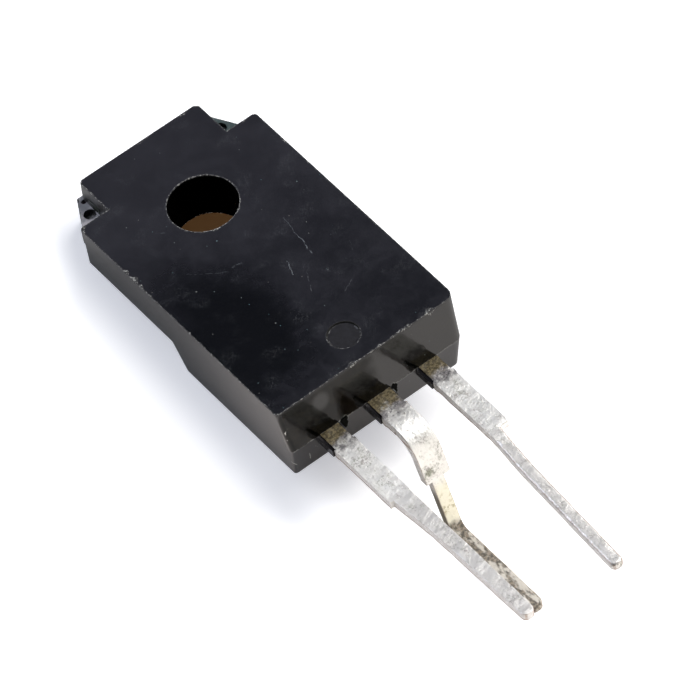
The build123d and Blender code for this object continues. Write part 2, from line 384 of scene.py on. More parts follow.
# and on the lead end: a curved scuff at its upper left, and short ones below
END_SCUFFS = (
    ((-4.55, 0, -1.06), (-4.72, 0, -1.0), 0.035, 0.25, 0.7),
    ((-4.72, 0, -1.0), (-4.86, 0, -1.16), 0.035, 0.25, 0.7),
    ((-4.86, 0, -1.16), (-4.88, 0, -1.42), 0.035, 0.25, 0.7),
    ((-4.88, 0, -1.42), (-4.82, 0, -1.62), 0.03, 0.25, 0.7),
    ((-4.9, 0, -3.2), (-4.55, 0, -3.6), 0.03, 0.25, 0.7),
    ((-3.9, 0, -3.35), (-3.84, 0, -3.8), 0.035, 0.25, 0.7),
    ((-3.56, 0, -3.0), (-3.5, 0, -3.3), 0.02, 0.25, 0.7),
)
# where the flash beside a neck broke away, painted black as the shade in the pit: middle
# and half size on the lead end
NECK_CHIPS = (
    ((-1.96, 0, -2.85), (0.26, 1, 0.62)),
    ((0.84, 0, -2.85), (0.24, 1, 0.6)),
)
HALF_WIDTH = 5.0
THICKNESS = 4.45
HEAD_REACH = 5.0             # hole axis to the head end
TAIL_REACH = 12.1            # hole axis to the lead end of the mounting face
PARTING_DEPTH = 2.38         # mounting face to where the two mould halves met
END_BULGE = 0.5              # the ends lean out by less than this to the parting
LEDGE_DEPTH = 1.05           # mounting face to the ledges in the two notches
HOLE_RADIUS = hole["dims"]["r_mm"]
EJECTOR_PLACE = Vector((0, -10.5, 0))
EJECTOR_RADIUS = 0.76


def scratch_set(nodes, place, scratches):
    """The mask of a list of scratches, each as pale as it says."""
    found = 0.0
    for start, end, width, broken, pale in scratches:
        line = nodes.group(scratch_line, {
            "Place": place, "Start": start, "End": end, "Width": width, "Break": broken,
        })
        found = nodes.most(found, nodes.product(line, pale))
    return found


def neck_chips(nodes, place, end_place):
    """The masks of the chips beside the necks, painted black as shade, and of their ragged
    borders.
    """
    chip_shade = border = 0.0
    for middle, half_size in NECK_CHIPS:
        from_chip = nodes.vector("SUBTRACT", end_place, middle)
        from_chip = nodes.length(nodes.vector("DIVIDE", from_chip, half_size))
        ragged = nodes.product(nodes.noise(place, 3.5, 3.0, 0.6), 0.9)
        from_chip = nodes.math("ADD", from_chip, ragged)
        chip_shade = nodes.most(chip_shade, nodes.fade(from_chip, 1.45, 1.35))
        border_gap = nodes.math("ABSOLUTE", nodes.math("SUBTRACT", from_chip, 1.47))
        border = nodes.most(border, nodes.fade(border_gap, 0.1, 0.03))
    return chip_shade, border


def resin_material():
    """Black filled epoxy: satin and cloudy on the mounting face, paler to the head as a
    painted sheen, glossy at the lead end with painted shade dulling much of it, dull and
    painted black as shade in the hole and the neck chips, pale on the ledges as painted
    light and where an edge is knocked."""
    material, nodes, shader = new_material("black_epoxy")
    place = nodes.group(package_place, {})
    sideways, along_body, depth = nodes.apart(place)
    rear = nodes.fade(depth, -0.1, -0.03)
    lead_end = nodes.fade(along_body, -TAIL_REACH + 0.02, -TAIL_REACH - 0.04)
    upper_end = nodes.product(
        lead_end, nodes.fade(depth, -PARTING_DEPTH - 0.03, -PARTING_DEPTH + 0.03)
    )
    flat_place = nodes.vector("MULTIPLY", place, (1, 1, 0))
    off_axis = nodes.length(flat_place)
    in_shaded_hole = nodes.product(
        nodes.fade(off_axis, HOLE_RADIUS + 0.06, HOLE_RADIUS + 0.01),
        nodes.fade(depth, -0.03, -0.12),
    )
    # the ledges in the notches at the head, and faintly the walls above them; on the left
    # these are painted pale as painted light
    off_centre = nodes.math("ABSOLUTE", sideways)
    below_walls = nodes.fade(depth, -0.93, -1.0)
    wall_share = nodes.fade(depth, -0.06, -0.14, 0.0, 0.3)
    on_ledge = nodes.product(
        nodes.mix(below_walls, wall_share, 1.0),
        nodes.fade(depth, -1.55, -1.42),
        nodes.fade(nodes.turned_to(outwards), 0.1, 0.6, 0.2, 1.0),
        nodes.fade(along_body, 2.6, 2.75),
        nodes.fade(off_centre, 3.3, 3.38),
        nodes.fade(off_centre, 4.93, 4.88),
        nodes.rest(in_shaded_hole),
    )

    # the mounting face: paler to the head as a painted sheen, cloudy, with a dull dark
    # patch at its left
    clouds = nodes.patches(0.36, 0.68, place, 0.32, 4.0, 0.6, 0.6)
    wisps = nodes.patches(0.42, 0.7, place, 1.5, 5.0, 0.65, 0.8)
    clouds = nodes.mix(0.35, clouds, wisps)
    dull_patch = nodes.vector("SUBTRACT", flat_place, (-3.5, -7.2, 0))
    dull_patch = nodes.vector("MULTIPLY", dull_patch, (0.34, 0.2, 0))
    dull_patch = nodes.math("ADD", nodes.length(dull_patch), nodes.product(clouds, 0.3))
    dull_patch = nodes.fade(dull_patch, 1.35, 0.55)
    sheen_to_head = nodes.fade(along_body, -12.0, 5.0)
    colour = nodes.blend(sheen_to_head, (0.001, 0.0014, 0.0052), (0.0138, 0.0138, 0.0198))
    colour = nodes.paint(colour, (0.0165, 0.0165, 0.026), clouds, 0.4)
    colour = nodes.paint(colour, (0.0022, 0.0028, 0.0046), dull_patch, 0.9)

    # the walls, the upper end, the hole painted black as shade, and the ledges with their
    # pits, the left ledge painted pale as light
    wall_tone = nodes.blend(
        nodes.fade(along_body, -10.0, -3.0), (0.012, 0.0115, 0.014), (0.001, 0.001, 0.0015)
    )
    colour = nodes.paint(colour, wall_tone, nodes.rest(rear))
    end_tone = nodes.blend(wisps, (0.0012, 0.0012, 0.001), (0.005, 0.0042, 0.0028))
    colour = nodes.paint(colour, end_tone, upper_end)
    # the hole wall is painted black: painted shade
    colour = nodes.paint(colour, (0.0, 0.0, 0.0), in_shaded_hole)
    on_left = nodes.math("LESS_THAN", sideways, 0.0)
    in_pit = nodes.product(
        on_ledge, nodes.fade(depth, -LEDGE_DEPTH - 0.03, -LEDGE_DEPTH - 0.09), on_left
    )
    # the left ledge gets a pale tone as painted light where the body shades it; the right
    # one is dark teal
    ledge_tone_and_painted_light = nodes.blend(wisps, (0.32, 0.32, 0.34), (0.58, 0.55, 0.58))
    right_tone = nodes.blend(wisps, (0.05, 0.075, 0.078), (0.12, 0.15, 0.15))
    ledge_tone_and_painted_light = nodes.blend(on_left, right_tone, ledge_tone_and_painted_light)
    colour = nodes.paint(colour, ledge_tone_and_painted_light, on_ledge)
    pit_tone = nodes.blend(
        nodes.fade(along_body, 4.3, 4.6), (0.012, 0.022, 0.018), (0.12, 0.08, 0.08)
    )
    colour = nodes.paint(
        colour, pit_tone, nodes.product(in_pit, nodes.mix(wisps, 0.9, 0.15))
    )

    # wiping marks, scratches and scuffs
    wiped = nodes.group(wipe_marks, {"Place": place, "Turn": 0.75, "Fineness": 6.0})
    wiped_across = nodes.group(wipe_marks, {"Place": place, "Turn": 2.3, "Fineness": 7.5})
    wiped = nodes.product(nodes.most(wiped, wiped_across), 0.1)
    scratched = nodes.most(wiped, scratch_set(nodes, place, REAR_SCRATCHES))
    scratched = nodes.product(scratched, rear)
    colour = nodes.paint(colour, (0.14, 0.16, 0.18), scratched)
    end_place = nodes.vector("MULTIPLY", place, (1, 0, 1))
    scuffed = nodes.product(scratch_set(nodes, end_place, END_SCUFFS), lead_end)
    colour = nodes.paint(colour, (0.4, 0.4, 0.38), scuffed)

    # the parting line and the chips beside the necks, painted near black as shade in the
    # pits
    parting_gap = nodes.math("ABSOLUTE", nodes.math("ADD", depth, PARTING_DEPTH))
    broken = nodes.patches(0.45, 0.58, place, 4.5, 3.0, 0.7)
    parting = nodes.product(nodes.fade(parting_gap, 0.035, 0.01), lead_end, broken)
    colour = nodes.paint(colour, (0.3, 0.3, 0.29), parting, 0.5)
    chip_shade, chip_border = neck_chips(nodes, place, end_place)
    chip_shade = nodes.product(chip_shade, lead_end)
    chip_border = nodes.product(chip_border, lead_end, broken)
    colour = nodes.paint(colour, (0.2, 0.21, 0.19), chip_border, 0.35)
    # the chips are painted near black: painted shade
    colour = nodes.paint(colour, (0.0006, 0.0008, 0.0006), chip_shade)

    # pale and bluish dust
    dust = nodes.group(
        grains, {"Place": place, "Per millimetre": 1.1, "Size": 0.045, "Share": 0.5}
    )
    fine_dust = nodes.group(
        grains, {"Place": place, "Per millimetre": 2.9, "Size": 0.028, "Share": 0.3}
    )
    dust = nodes.product(nodes.most(dust, fine_dust), nodes.rest(in_shaded_hole))
    dust_tone = nodes.blend(
        nodes.patches(0.4, 0.6, place, 2.0), (0.3, 0.29, 0.27), (0.16, 0.3, 0.33)
    )
    colour = nodes.paint(colour, dust_tone, dust, 0.6)

    # the disc that the ejector pin pressed: mottled, with painted shade, black, in the far
    # side of its step and pale flecks along the near side
    from_pin = nodes.vector("SUBTRACT", flat_place, tuple(EJECTOR_PLACE))
    pin_gap = nodes.length(from_pin)
    pressed = nodes.product(
        nodes.fade(pin_gap, EJECTOR_RADIUS + 0.02, EJECTOR_RADIUS - 0.05), rear
    )
    mottle = nodes.patches(0.4, 0.62, place, 4.0, 4.0, 0.7)
    pressed_tone = nodes.blend(mottle, (0.005, 0.005, 0.008), (0.02, 0.02, 0.027))
    colour = nodes.paint(colour, pressed_tone, pressed, 0.8)
    shaded_far_side = nodes.vector("DOT_PRODUCT", from_pin, (0.5, 0.87, 0), "Value")
    shaded_far_side = nodes.fade(shaded_far_side, 0.0, 0.4)
    ring_gap = nodes.math("ABSOLUTE", nodes.math("SUBTRACT", pin_gap, EJECTOR_RADIUS))
    ring = nodes.product(nodes.fade(ring_gap, 0.055, 0.02), nodes.fade(depth, -0.2, -0.1))
    crumbs = nodes.noise(place, 9.0, 3.0, 0.7)
    near_tone = nodes.blend(
        nodes.fade(crumbs, 0.5, 0.62), (0.003, 0.003, 0.004), (0.16, 0.16, 0.16)
    )
    colour = nodes.paint(colour, nodes.blend(shaded_far_side, near_tone, (0.0, 0.0, 0.0)), ring)

    # worn rims, with pale crumbs of resin in them
    rim_gap = nodes.add("ShaderNodeAttribute", {}, "Fac", attribute_name="rim_gap")
    ragged = nodes.product(nodes.noise(place, 13.0, 3.0, 0.7), 0.1)
    rim = nodes.product(
        nodes.fade(nodes.math("ADD", rim_gap, ragged), 0.062, 0.02),
        nodes.fade(pin_gap, EJECTOR_RADIUS + 0.1, EJECTOR_RADIUS + 0.3),
    )
    bright_crumbs = nodes.noise(place, 8.0, 4.0, 0.75)
    at_hole = nodes.fade(off_axis, HOLE_RADIUS + 0.5, HOLE_RADIUS + 0.25, 0.0, 0.03)
    bright_crumbs = nodes.fade(nodes.math("ADD", bright_crumbs, at_hole), 0.5, 0.6)
    rim_colour = nodes.blend(bright_crumbs, (0.014, 0.014, 0.016), (0.3, 0.3, 0.29))
    colour = nodes.paint(colour, rim_colour, rim)

    # how matt each place is
    smear = nodes.fade(nodes.noise(place, 1.1, 3.0), 0.35, 0.7, 0.07, 0.13)
    flash_start = -TAIL_REACH - END_BULGE
    on_flash = nodes.fade(along_body, flash_start, flash_start - 0.05)
    roughness = nodes.mix(clouds, 0.3, 0.38)
    for mask, matt in (
        (dull_patch, 0.2), (nodes.rest(rear), 0.34), (upper_end, smear),
        (in_shaded_hole, 0.9), (ring, 0.8), (on_flash, 0.16), (chip_shade, 0.95),
    ):
        roughness = nodes.mix(mask, roughness, matt)
    roughness = nodes.math("ADD", roughness, nodes.product(rim, 0.3))

    # the shine is taken off most of the upper end, as painted shade for the dark that it
    # mirrors on the left, but for a spot where a small pale reflection stays
    dimmed_reflection = nodes.math("ADD", sideways, nodes.product(nodes.noise(place, 1.2, 3.0), 1.2))
    from_pale_panel = nodes.vector("DISTANCE", end_place, (-2.75, 0, -0.75), "Value")
    dimmed_reflection = nodes.product(
        nodes.fade(dimmed_reflection, 1.0, 0.2), nodes.fade(from_pale_panel, 0.25, 0.6), upper_end
    )
    # black metal mirrors less than resin does, so a share of metallic dulls it,
    # and the colour makes up for the share of resin that is lost; in the hole, the neck
    # chips and the dimmed part of the upper end this is painted shade
    low_end = nodes.product(lead_end, nodes.rest(upper_end))
    dulled = nodes.most(
        in_shaded_hole, chip_shade, nodes.product(on_flash, 0.6), nodes.product(dimmed_reflection, 0.55),
        nodes.product(low_end, 0.3), nodes.product(rear, 0.16),
    )
    colour = nodes.vector("DIVIDE", colour, nodes.most(nodes.rest(dulled), 0.3))

    swell = nodes.noise(place, 1.4, 3.0, 0.5)
    grain = nodes.noise(place, 22.0, 3.0, 0.6)
    grain = nodes.product(grain, nodes.mix(lead_end, 1.0, 0.1))
    marks = nodes.most(scratched, nodes.product(rim, crumbs))
    normal = nodes.bump(swell, 0.005 * MM)
    normal = nodes.bump(grain, 0.0016 * MM, normal)
    normal = nodes.bump(marks, 0.012 * MM, normal)
    wire_shader(nodes, shader, {
        "Base Color": colour, "Roughness": roughness, "Metallic": dulled,
        "Normal": normal, "IOR": 1.55,
    })
    return material


# knocks that show at a glance: place, radius and depth of each
BODY_NICKS = (
    ((-5.0, -0.85, 0.0), 0.16, 0.09),
    ((-5.0, -1.45, 0.0), 0.22, 0.12),
    ((-5.0, -1.95, 0.0), 0.15, 0.06),
    ((-5.0, 2.65, 0.0), 0.3, 0.1),
    ((3.55, -12.1, 0.0), 0.25, 0.1),
    ((-0.75, -12.1, 0.0), 0.16, 0.07),
    ((-4.6, -12.3, -1.2), 0.35, 0.06),
    ((2.5, 5.0, 0.0), 0.2, 0.06),
    ((3.37, 5.0, 0.0), 0.2, 0.08),
)
BODY_SLICE = 0.14
EDGE_ROUND = 0.04
SMALL_EDGE_ROUND = 0.012     # at the necks, the ejector disc and the pits
FLASH_HALF_WIDTH = 0.022
FLASH_HEIGHT = 0.035
SIDE_DRAFT = radians(3.9)
END_DRAFT = radians(10.6)
CORNER_RADIUS = 0.3
WORN_CORNER_RADIUS = 0.45


def nick_depth(point):
    """How far the edge is knocked back at a point of it."""
    crumble = max(0.0, noise.fractal(point * 5.0, 0.8, 2.0, 3) - 0.12)
    knock = max(0.0, noise.noise(point * 1.1) - 0.33)
    depth = 0.05 * crumble + 0.12 * knock
    for place, radius, deepest in BODY_NICKS:
        nearness = 1 - (point - Vector(place)).length / radius
        depth += deepest * max(0.0, nearness) ** 0.5
    return depth


# the surface of everything that the resin holds
inner_mesh = bmesh.new()
for name in frame["nodes"]:
    if name != "epoxy_body":
        inner_mesh.from_mesh(frame["nodes"][name].data)
inner_mesh.transform(to_package)
inner_surface = BVHTree.FromBMesh(inner_mesh)
inner_mesh.free()


def shape_tail_corner(point):
    """The left corner at the lead end is crisp, and the right one is worn round."""
    depth = -point.z
    half_width = HALF_WIDTH - depth * tan(SIDE_DRAFT)
    to_parting = min(depth, 2 * PARTING_DEPTH - depth)
    tail = TAIL_REACH + to_parting * tan(END_DRAFT)
    radius = WORN_CORNER_RADIUS if point.x > 0 else CORNER_RADIUS
    centre = Vector((half_width - radius, tail - radius))
    gap = Vector((abs(point.x), -point.y)) - centre
    if min(gap) <= 0:
        return
    if point.x > 0:
        scale = min(1.0, radius / gap.length)
    else:
        scale = gap.length / (gap.x ** 4 + gap.y ** 4) ** 0.25
    shaped = centre + gap * scale
    point.x = shaped.x if point.x > 0 else -shaped.x
    point.y = -shaped.y


def moulded_body():
    """The body with worn edges, fine enough to take nicks and a broken flash."""
    bench = bench_mesh("epoxy_body")
    main, small = [], []
    for edge in outer_edges(bench, 40):
        middle = (edge.verts[0].co + edge.verts[1].co) / 2
        metal_gap = inner_surface.find_nearest(middle)[3]
        in_ejector = middle.z > -0.2 and (middle - EJECTOR_PLACE).length < 1.0
        near_ledge = abs(middle.z + LEDGE_DEPTH) < 0.35
        in_pit = near_ledge and abs(middle.x) < 4.1 and middle.y > 3.3
        if metal_gap < 0.02:
            continue
        (small if metal_gap < 0.3 or in_ejector or in_pit else main).append(edge)
    tree = edge_points(main)
    round_edges(bench, main, EDGE_ROUND)
    small = [edge for edge in small if edge.is_valid]
    round_edges(bench, small, SMALL_EDGE_ROUND)
    for normal, start, end in (
        (across, -HALF_WIDTH - 0.1, HALF_WIDTH + 0.1),
        (Vector((0, 1, 0)), -TAIL_REACH - END_BULGE, HEAD_REACH + 0.2),
        (Vector((0, 0, 1)), -THICKNESS, 0),
    ):
        slice_up(bench, normal, start, end, BODY_SLICE)
    for level in (FLASH_HALF_WIDTH, 0.0, -FLASH_HALF_WIDTH):
        place = Vector((0, 0, level - PARTING_DEPTH))
        geometry = bench.verts[:] + bench.edges[:] + bench.faces[:]
        bmesh.ops.bisect_plane(
            bench, geom=geometry, plane_co=place, plane_no=(0, 0, 1), dist=1e-4
        )
    bench.normal_update()
    for vert in bench.verts:
        on_parting = abs(vert.co.z + PARTING_DEPTH) < 0.002
        at_end = vert.co.y < -TAIL_REACH - 0.2 or vert.co.y > HEAD_REACH - 0.1
        on_end = at_end and abs(vert.co.x) < HALF_WIDTH - 0.3
        if on_parting and on_end and inner_surface.find_nearest(vert.co)[3] > 0.05:
            height = FLASH_HEIGHT * max(0.0, noise.noise(vert.co * 2.5) + 0.25)
            vert.co += Vector((vert.normal.x, vert.normal.y, 0)).normalized() * height
    wear_edges(bench, tree, EDGE_ROUND, 0.6, nick_depth)
    for vert in bench.verts:
        if vert.co.y > -TAIL_REACH - END_BULGE:
            shape_tail_corner(vert.co)
        vert.co.x = max(-HALF_WIDTH, min(vert.co.x, HALF_WIDTH))
    finished_piece(bench, "moulded_body", "resin", resin_material(), "epoxy_body")


moulded_body()

# ---- Leads ---------------------------------------------------------------
# The real leads are blanked from copper strip and tinned after moulding: the
# faces are mottled tin, the sheared sides show brown copper, and the stubs of
# the cut tie stand out beside each neck.  The centre lead is formed downwards.

LEAD_EXIT = -12.4            # where a lead leaves the solid resin, along Y
NECK_END = -13.645           # and where its neck ends, at the cut tie
STUB_MIDDLE = NECK_END - 0.16
STUB_HALF_LENGTH = 0.17
STRIP_THICKNESS = 0.45
HALF_BROAD = 0.9             # a little more than half a broad part's width
LEAD_SLICE = 0.15
LEAD_EDGE_ROUND = 0.14
NECK_EDGE_ROUND = 0.03       # where the resin flash lies against the lead
TIN_METALLIC = 0.85


def tin_material():
    """Dipped tin over copper: bright with grey frost and dark specks, stained brown by the
    resin at the body, with a grey band of painted shade beside it, painted shade on the
    undersides and the slope of the centre lead, and darker brown mottling on its low run."""
    material, nodes, shader = new_material("mottled_tin")
    place = nodes.group(package_place, {})
    _, along_lead, depth = nodes.apart(place)
    side_turn = nodes.math("ABSOLUTE", nodes.turned_to(across))
    sheared = nodes.fade(side_turn, 0.6, 0.9)
    shear_lip = nodes.product(
        nodes.fade(side_turn, 0.3, 0.5), nodes.fade(side_turn, 0.85, 0.65)
    )
    underside_shade = nodes.fade(nodes.turned_to(outwards), -0.1, -0.3)

    # bright tin with grey frost in patches and streaks, and dark pits
    patches = nodes.patches(0.44, 0.68, place, 1.3, 3.0, 0.6, 0.5)
    frost = nodes.patches(0.44, 0.58, place, 7.5, 4.0, 0.75)
    drawn = nodes.vector("MULTIPLY", place, (2.6, 0.4, 1.0))
    streaks = nodes.patches(0.5, 0.72, drawn, 1.0, 4.0, 0.65)
    grey = nodes.most(
        nodes.product(patches, nodes.mix(frost, 0.15, 1.0)),
        nodes.product(streaks, nodes.mix(frost, 0.1, 0.8)),
    )
    hue = nodes.patches(0.4, 0.6, place, 4.0, 2.0)
    frost_tone = nodes.blend(hue, (0.36, 0.325, 0.315), (0.34, 0.34, 0.29))
    on_pin = nodes.fade(along_lead, -16.5, -19.0)
    bright = nodes.blend(on_pin, (1.0, 0.99, 0.965), (0.84, 0.82, 0.8))
    colour = nodes.paint(bright, frost_tone, grey, 0.85)
    pits = nodes.group(
        grains, {"Place": place, "Per millimetre": 6.0, "Size": 0.045, "Share": 0.3}
    )
    pits = nodes.product(pits, nodes.mix(patches, 0.25, 1.0))
    colour = nodes.paint(colour, (0.09, 0.08, 0.075), pits, 0.75)

    # a band of painted shade in grey, and then the brown stain of the resin towards the
    # body
    ragged = nodes.product(nodes.noise(place, 2.2, 4.0, 0.7), 1.1)
    from_body = nodes.math("ADD", along_lead, ragged)
    blotches = nodes.fade(nodes.noise(place, 2.4, 3.0, 0.6), 0.4, 0.52, 0.3, 1.0)
    painted_shade_band = nodes.product(nodes.fade(from_body, -13.8, -13.15), blotches)
    shade_band_tone = nodes.blend(frost, (0.1, 0.095, 0.105), (0.34, 0.32, 0.33))
    colour = nodes.paint(colour, shade_band_tone, painted_shade_band, 0.9)
    stain = nodes.fade(from_body, -12.95, -12.6)
    stain_colour = nodes.blend(frost, (0.07, 0.055, 0.022), (0.24, 0.19, 0.095))
    colour = nodes.paint(colour, stain_colour, stain, 0.95)

    # the formed part of the centre lead: warm, with a patch of painted shade high on its
    # slope, darker and mottled on its low run
    formed = nodes.fade(depth, -4.6, -5.4)
    warm = nodes.blend(nodes.product(patches, frost), (1.0, 0.97, 0.82), (0.5, 0.42, 0.18))
    colour = nodes.paint(colour, warm, formed, 0.85)
    slope_shade = nodes.vector("DISTANCE", place, (-0.35, -16.3, -4.21), "Value")
    slope_shade = nodes.math("ADD", slope_shade, nodes.product(nodes.noise(place, 4.0, 3.0), 0.3))
    colour = nodes.paint(
        colour, (0.26, 0.27, 0.2), nodes.fade(slope_shade, 0.42, 0.22, 0.0, 0.75)
    )
    # the low run is darker, with brown mottling
    low_run = nodes.fade(depth, -6.9, -7.3)
    low_mottle = nodes.vector("MULTIPLY", place, (1.6, 0.7, 1.0))
    low_mottle = nodes.patches(0.4, 0.56, low_mottle, 2.0, 3.0, 0.65)
    low_mottle_tone = nodes.blend(frost, (0.07, 0.055, 0.04), (0.4, 0.33, 0.26))
    low_tone = nodes.blend(low_mottle, (0.85, 0.8, 0.72), low_mottle_tone)
    colour = nodes.paint(colour, low_tone, low_run, 0.9)

    # sheared sides with copper at their lips, the underside painted brown as shade, the cut
    # tie bar
    low_side = nodes.fade(depth, -5.0, -5.8)
    tinned_side = nodes.blend(frost, (0.72, 0.68, 0.64), (0.93, 0.9, 0.87))
    side_tone = nodes.blend(low_side, tinned_side, (0.16, 0.13, 0.09))
    free = nodes.product(nodes.fade(along_lead, -12.95, -13.1), 0.9)
    colour = nodes.paint(colour, side_tone, nodes.product(sheared, free))
    copper = nodes.blend(frost, (0.26, 0.17, 0.12), (0.46, 0.34, 0.27))
    colour = nodes.paint(
        colour, copper, nodes.product(shear_lip, nodes.mix(frost, 0.35, 0.8))
    )
    low_lip = nodes.product(
        nodes.fade(depth, -2.7, -2.77), nodes.fade(depth, -2.95, -2.88), sheared
    )
    colour = nodes.paint(colour, copper, nodes.product(low_lip, nodes.mix(frost, 0.6, 0.9)))
    # the underside is painted brown: painted shade
    colour = nodes.paint(colour, (0.24, 0.17, 0.12), underside_shade)
    tie_bar = nodes.fade(along_lead, -5.0, -4.0)
    tie_tone = nodes.blend(frost, (0.004, 0.007, 0.005), (0.03, 0.04, 0.03))
    colour = nodes.paint(colour, tie_tone, tie_bar)

    roughness = nodes.mix(grey, 0.42, 0.55)
    dark = nodes.most(stain, low_run, tie_bar, nodes.product(sheared, free))
    bend = nodes.fade(depth, -2.5, -3.1)
    roughness = nodes.mix(bend, roughness, 0.62)
    metallic = nodes.mix(bend, TIN_METALLIC, 0.72)
    metallic = nodes.mix(dark, metallic, 0.15)

    waves = nodes.noise(place, 1.8, 3.0, 0.55)
    skin = nodes.noise(place, 7.0, 4.0, 0.7)
    normal = nodes.bump(waves, 0.05 * MM)
    normal = nodes.bump(skin, 0.016 * MM, normal)
    normal = nodes.bump(nodes.rest(pits), 0.01 * MM, normal)
    wire_shader(nodes, shader, {
        "Base Color": colour, "Roughness": roughness, "Metallic": metallic,
        "Normal": normal,
    })
    return material


tin = tin_material()
noise.seed_set(4)            # the leads come out the same each time


def lead_wear(point):
    """How far the edge of a lead is rubbed back at a point of it."""
    return 0.02 * max(0.0, noise.noise(point * 3.0))


def tinned_lead(node, name, centre, tie_stub):
    """One lead: edges softened by the tin, face a little uneven, stubs at the tie."""
    bench = bench_mesh(node)
    edges = [
        edge for edge in outer_edges(bench, 40)
        if max(vert.co.y for vert in edge.verts) < LEAD_EXIT
    ]
    tree = edge_points(edges)
    at_neck = [
        edge for edge in edges if min(vert.co.y for vert in edge.verts) > NECK_END - 0.02
    ]
    free = [edge for edge in edges if edge not in at_neck]
    round_edges(bench, at_neck, NECK_EDGE_ROUND)
    round_edges(bench, [edge for edge in free if edge.is_valid], LEAD_EDGE_ROUND)
    lowest = min(vert.co.z for vert in bench.verts)
    tip = min(vert.co.y for vert in bench.verts)
    slice_up(bench, Vector((0, 1, 0)), tip, LEAD_EXIT - 0.1, LEAD_SLICE)
    slice_up(bench, across, centre - HALF_BROAD, centre + HALF_BROAD, LEAD_SLICE)
    if lowest < -PARTING_DEPTH - 1:
        bend_top = -PARTING_DEPTH - STRIP_THICKNESS
        bend_end = lowest + STRIP_THICKNESS
        slice_up(bench, Vector((0, 0, 1)), bend_end, bend_top, LEAD_SLICE)
    wear_edges(bench, tree, LEAD_EDGE_ROUND, 0.25, lead_wear)
    for vert in bench.verts:
        point = vert.co.copy()
        from_resin = LEAD_EXIT - 0.3 - point.y
        if from_resin < 0:
            continue
        loose = min(1.0, from_resin / 0.8)
        sway = noise.noise_vector(point * 0.55 + Vector((centre, 0, 0)))
        dent = noise.noise_vector(point * 2.6)
        vert.co += loose * (0.012 * dent + 0.01 * sway)
        side = point.x - centre
        bump = max(0.0, 1 - abs(point.y - STUB_MIDDLE) / STUB_HALF_LENGTH) ** 0.5
        ragged = 0.6 + 0.4 * noise.noise(point * 7.0)
        if abs(side) > 0.2:
            vert.co.x += tie_stub * ragged * bump * (1 if side > 0 else -1)
    finished_piece(bench, name, "tinned_strip", tin, node)


PIN_PITCH = 2.54
BROAD_SHIFT = 0.24           # how far a broad part's middle is outside its pin's line
tinned_lead("t1_lead", "t1_lead_tinned", PIN_PITCH + BROAD_SHIFT, 0.07)
tinned_lead("gate_lead", "gate_lead_tinned", -PIN_PITCH - BROAD_SHIFT, 0.05)
tinned_lead("t2_lead_frame", "t2_lead_frame_tinned", 0.0, 0.06)

# ---- Inside the resin ----------------------------------------------------
# A silicon chip, the solder that holds it to the pad, and two aluminium bond
# wires.  They are sealed in, so they keep the solid's shape with plain finishes.


def inner_material(name, dark, light, roughness, metallic, scale):
    """A plain finish that drifts between two tones."""
    material, nodes, shader = new_material(name)
    place = nodes.group(package_place, {})
    tone = nodes.noise(place, scale, 4.0, 0.6)
    wire_shader(nodes, shader, {
        "Base Color": nodes.blend(nodes.fade(tone, 0.35, 0.65), dark, light),
        "Roughness": nodes.mix(tone, roughness - 0.08, roughness + 0.08),
        "Metallic": metallic,
        "Normal": nodes.bump(tone, 0.004 * MM),
    })
    return material


silicon = inner_material("silicon", (0.1, 0.1, 0.12), (0.2, 0.2, 0.23), 0.15, 0.0, 2.0)
solder = inner_material("solder", (0.3, 0.3, 0.31), (0.5, 0.5, 0.5), 0.45, 1.0, 5.0)
aluminium = inner_material("aluminium", (0.6, 0.6, 0.6), (0.8, 0.8, 0.8), 0.3, 1.0, 8.0)
for node, finish in (
    ("triac_chip", silicon),
    ("die_attach_solder", solder),
    ("t1_bond_wire", aluminium),
    ("gate_bond_wire", aluminium),
):
    mesh = frame["nodes"][node].data
    mesh.materials.clear()
    mesh.materials.append(finish)

# ---- Floor, light and camera ---------------------------------------------
# The part lies front side down on a white sweep, with a painted shadow close beside the
# body and under the hole, and a painted glow that shows only in reflections.  Four square
# soft lamps and a faint sky light it, and a long lens looks down on it from its lead end.

low, high = (Vector(corner) for corner in cad_box)
GLOSSY_FLOOR = 0.55          # how much the open sweep glows in reflections, as painted reflection light, how much as it is looked at, which keeps it white, and how much close beside the body, where the lower glow is a painted shadow
CAMERA_FLOOR = 0.78          # how much as it is looked at, which keeps it white,
SHADED_FLOOR = 0.45          # and how much close beside the body
floor_mesh = bpy.data.meshes.new("floor")
floor_bench = bmesh.new()
bmesh.ops.create_grid(floor_bench, x_segments=2, y_segments=2, size=1.5)
bmesh.ops.translate(floor_bench, vec=(0, 0, low.z), verts=floor_bench.verts)
floor_bench.to_mesh(floor_mesh)
floor_bench.free()
floor = bpy.data.objects.new("floor", floor_mesh)
bpy.context.scene.collection.objects.link(floor)

paper, nodes, shader = new_material("white_sweep")
spot = nodes.add("ShaderNodeNewGeometry", {}, "Position")
beside, forward, _ = nodes.apart(spot)


def forward_of(along):
    """Where a place along the package lies on the floor, front to back."""
    return (from_package @ Vector((0, along, 0))).y


# painted shade, brown and dim, where the floor shows through the hole
under_hole = from_package @ Vector((0, 0, 0))
under_hole += outwards * ((low.z - under_hole.z) / outwards.z)
under_hole += Vector((0.64, 0.77, 0)) * 1.3 * MM
from_hole = nodes.vector("DISTANCE", spot, tuple(under_hole), "Value")
open_floor = nodes.fade(from_hole, 1.8 * MM, 2.3 * MM)

